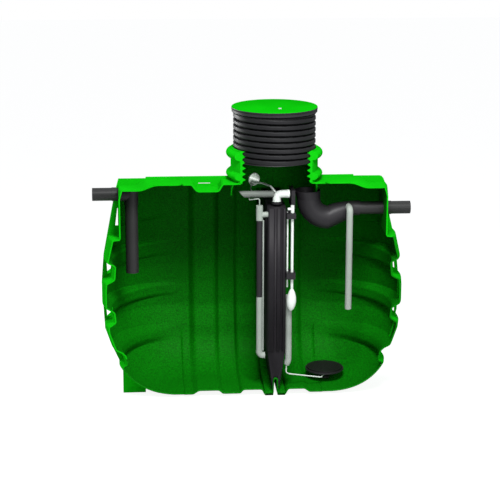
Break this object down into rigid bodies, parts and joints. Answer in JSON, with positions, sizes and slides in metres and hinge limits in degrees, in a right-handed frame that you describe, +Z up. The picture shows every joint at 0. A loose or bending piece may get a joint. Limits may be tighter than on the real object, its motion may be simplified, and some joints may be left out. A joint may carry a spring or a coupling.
{
  "type": "packaged sewage treatment plant, cut-away",
  "caption": "Ribbed plastic tank cut open lengthwise, with two chambers, inlet and outlet pipes, airlifts, trap, disc diffuser, and a threaded riser with its lid.",
  "frame": {"origin": "centre of the bounding box's base, on the floor", "axes": "+Z up, +X from the inlet towards the outlet along the tank, -Y towards the cut side"},
  "size_m": [2.714, 1.056, 2.505],
  "materials": {
    "green_tank": "rotomoulded, fine grain",
    "green_lid": "satin",
    "black_riser": "satin",
    "dark_ring": "satin",
    "dark_grey": "satin",
    "white_pipe": "smooth",
    "membrane": "matt, perforated",
    "steel": "brushed",
    "drain_pipe": "smooth",
    "light_grey": "smooth"
  },
  "bodies": {
    "root": {"air_hose_thin": "light_grey", "air_hose_wide": "white_pipe", "airlift_left_foot": "light_grey", "airlift_left_lower": "light_grey", "airlift_left_tee": "light_grey", "airlift_left_upper": "dark_grey", "airlift_right_pipe": "light_grey", "airlift_right_socket": "light_grey", "centre_bay_shell": "green_tank", "clamp_high": "dark_grey", "clamp_low": "dark_grey", "diffuser_base": "light_grey", "diffuser_membrane": "membrane", "diffuser_tube": "light_grey", "discharge_elbow": "white_pipe", "duct_sleeve": "drain_pipe", "elbow_collar": "dark_grey", "float_bulb": "white_pipe", "float_tee": "white_pipe", "float_tube": "white_pipe", "inlet_drop_pipe": "drain_pipe", "inlet_pipe": "drain_pipe", "inlet_tee": "drain_pipe", "left_air_tube": "light_grey", "left_bay_shell": "green_tank", "left_end_shell": "green_tank", "left_foot": "green_tank", "lid": "green_lid", "lid_lock": "steel", "neck_collar": "green_tank", "outlet_pipe": "drain_pipe", "partition_flutes": "dark_grey", "partition_wall": "dark_grey", "right_bay_shell": "green_tank", "right_end_shell": "green_tank", "riser": "black_riser", "riser_ring": "dark_ring", "spout_pipe": "light_grey", "thin_tube": "white_pipe", "trap_bend": "dark_grey", "trap_bracket": "dark_grey", "trap_reducer": "dark_grey", "vent_elbow": "light_grey", "vent_pipe": "light_grey"}
  },
  "joints": []
}
